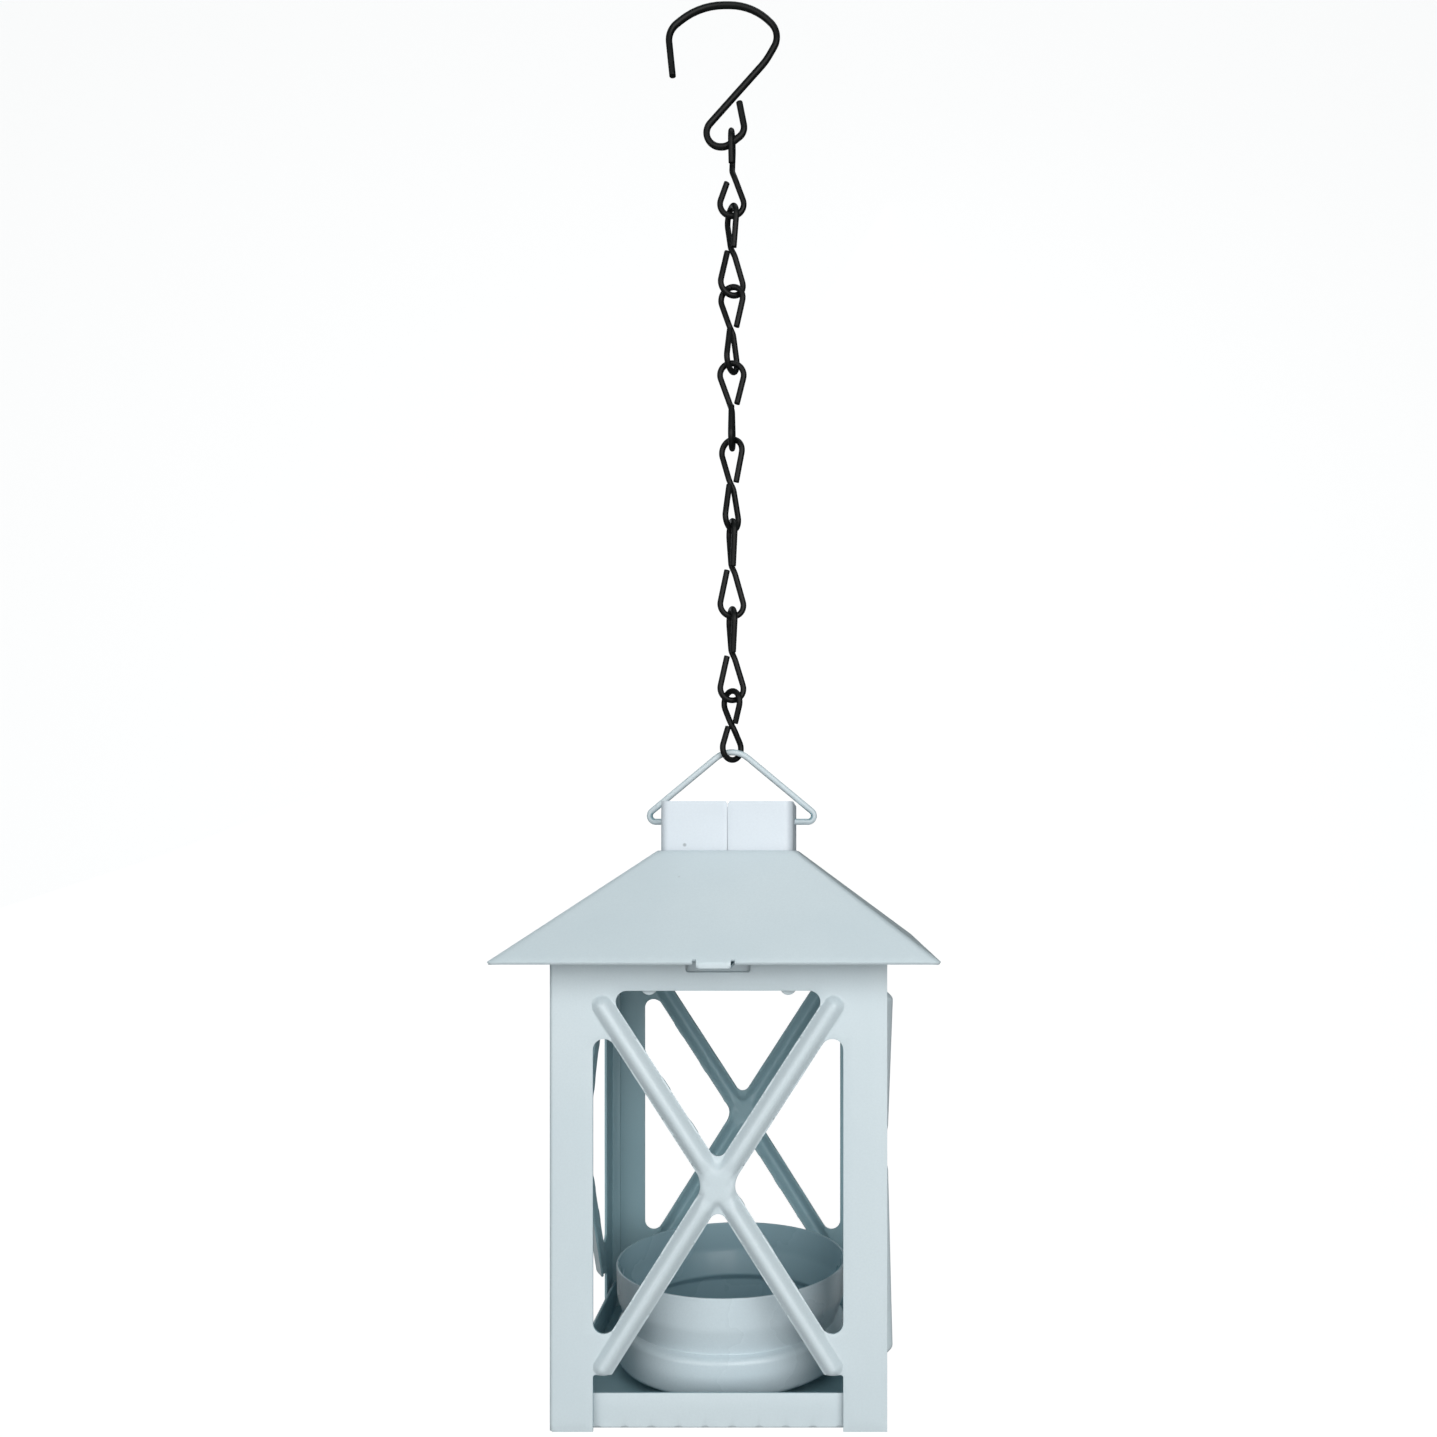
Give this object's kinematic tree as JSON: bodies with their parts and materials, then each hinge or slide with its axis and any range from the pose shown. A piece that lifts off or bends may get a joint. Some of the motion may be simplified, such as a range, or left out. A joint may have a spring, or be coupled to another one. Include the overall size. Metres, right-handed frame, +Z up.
{
  "type": "hanging lantern",
  "caption": "Square sheet-metal tealight lantern with cross-braced open walls, a hip roof and a vent collar, hung by a wire bail, a chain and an S-hook.",
  "frame": {"origin": "inside of the top bend of the S-hook, where the whole lantern hangs", "axes": "+Z up along the chain; the front wall faces -Y; +X to the right seen from the front"},
  "size_m": [0.0776, 0.0776, 0.2751],
  "materials": {
    "pale_paint": "fine-grained semi-gloss powder coat, pale blue-white",
    "cup_paint": "smoother semi-gloss paint, pale blue-white",
    "black_enamel": "black semi-gloss enamel on wire"
  },
  "bodies": {
    "s_hook": {"s_hook": "black_enamel"},
    "chain_link_1": {"chain_link_1": "black_enamel"},
    "chain_link_2": {"chain_link_2": "black_enamel"},
    "chain_link_3": {"chain_link_3": "black_enamel"},
    "chain_link_4": {"chain_link_4": "black_enamel"},
    "chain_link_5": {"chain_link_5": "black_enamel"},
    "chain_link_6": {"chain_link_6": "black_enamel"},
    "chain_link_7": {"chain_link_7": "black_enamel"},
    "chain_link_8": {"chain_link_8": "black_enamel"},
    "bail": {"bail": "pale_paint"},
    "house": {"collar": "pale_paint", "roof": "pale_paint", "top_frame": "pale_paint", "body_front_left": "pale_paint", "body_back_right": "pale_paint"},
    "base": {"base_tray": "pale_paint", "candle_cup": "cup_paint", "cup_rivet": "pale_paint"}
  },
  "joints": [
    {"name": "hook_to_link_1", "type": "hinge", "parent": "s_hook", "child": "chain_link_1", "pos_m": [0, 0, -0.02503], "axis": [0, 1, 0], "range_deg": [-40, 40]},
    {"name": "link_1_to_link_2", "type": "hinge", "parent": "chain_link_1", "child": "chain_link_2", "pos_m": [0, 0, -0.04187], "axis": [1, 0, 0], "range_deg": [-40, 40]},
    {"name": "link_2_to_link_3", "type": "hinge", "parent": "chain_link_2", "child": "chain_link_3", "pos_m": [0, 0, -0.05726], "axis": [0.9986, 0.0523, 0], "range_deg": [-25, 25]},
    {"name": "link_3_to_link_4", "type": "hinge", "parent": "chain_link_3", "child": "chain_link_4", "pos_m": [0, 0, -0.07349], "axis": [0.342, 0.9397, 0], "range_deg": [-40, 40]},
    {"name": "link_4_to_link_5", "type": "hinge", "parent": "chain_link_4", "child": "chain_link_5", "pos_m": [0, 0, -0.08737], "axis": [-0.8829, 0.4695, 0], "range_deg": [-40, 40]},
    {"name": "link_5_to_link_6", "type": "hinge", "parent": "chain_link_5", "child": "chain_link_6", "pos_m": [0, 0, -0.10469], "axis": [0.0872, 0.9962, 0], "range_deg": [-25, 25]},
    {"name": "link_6_to_link_7", "type": "hinge", "parent": "chain_link_6", "child": "chain_link_7", "pos_m": [0, 0, -0.12314], "axis": [0.9511, 0.309, 0], "range_deg": [-40, 40]},
    {"name": "link_7_to_link_8", "type": "hinge", "parent": "chain_link_7", "child": "chain_link_8", "pos_m": [0, 0, -0.13834], "axis": [-0.7071, 0.7071, 0], "range_deg": [-40, 40]},
    {"name": "link_8_to_bail", "type": "hinge", "parent": "chain_link_8", "child": "bail", "pos_m": [0, 0, -0.1523], "axis": [0, 1, 0], "range_deg": [-19, 19]},
    {"name": "bail_swing", "type": "hinge", "parent": "bail", "child": "house", "pos_m": [0, 0, -0.16471], "axis": [1, 0, 0], "range_deg": [-28, 28]},
    {"name": "base_pull", "type": "slide", "parent": "house", "child": "base", "axis": [0, 0, -1], "range_m": [0, 0.03]}
  ]
}
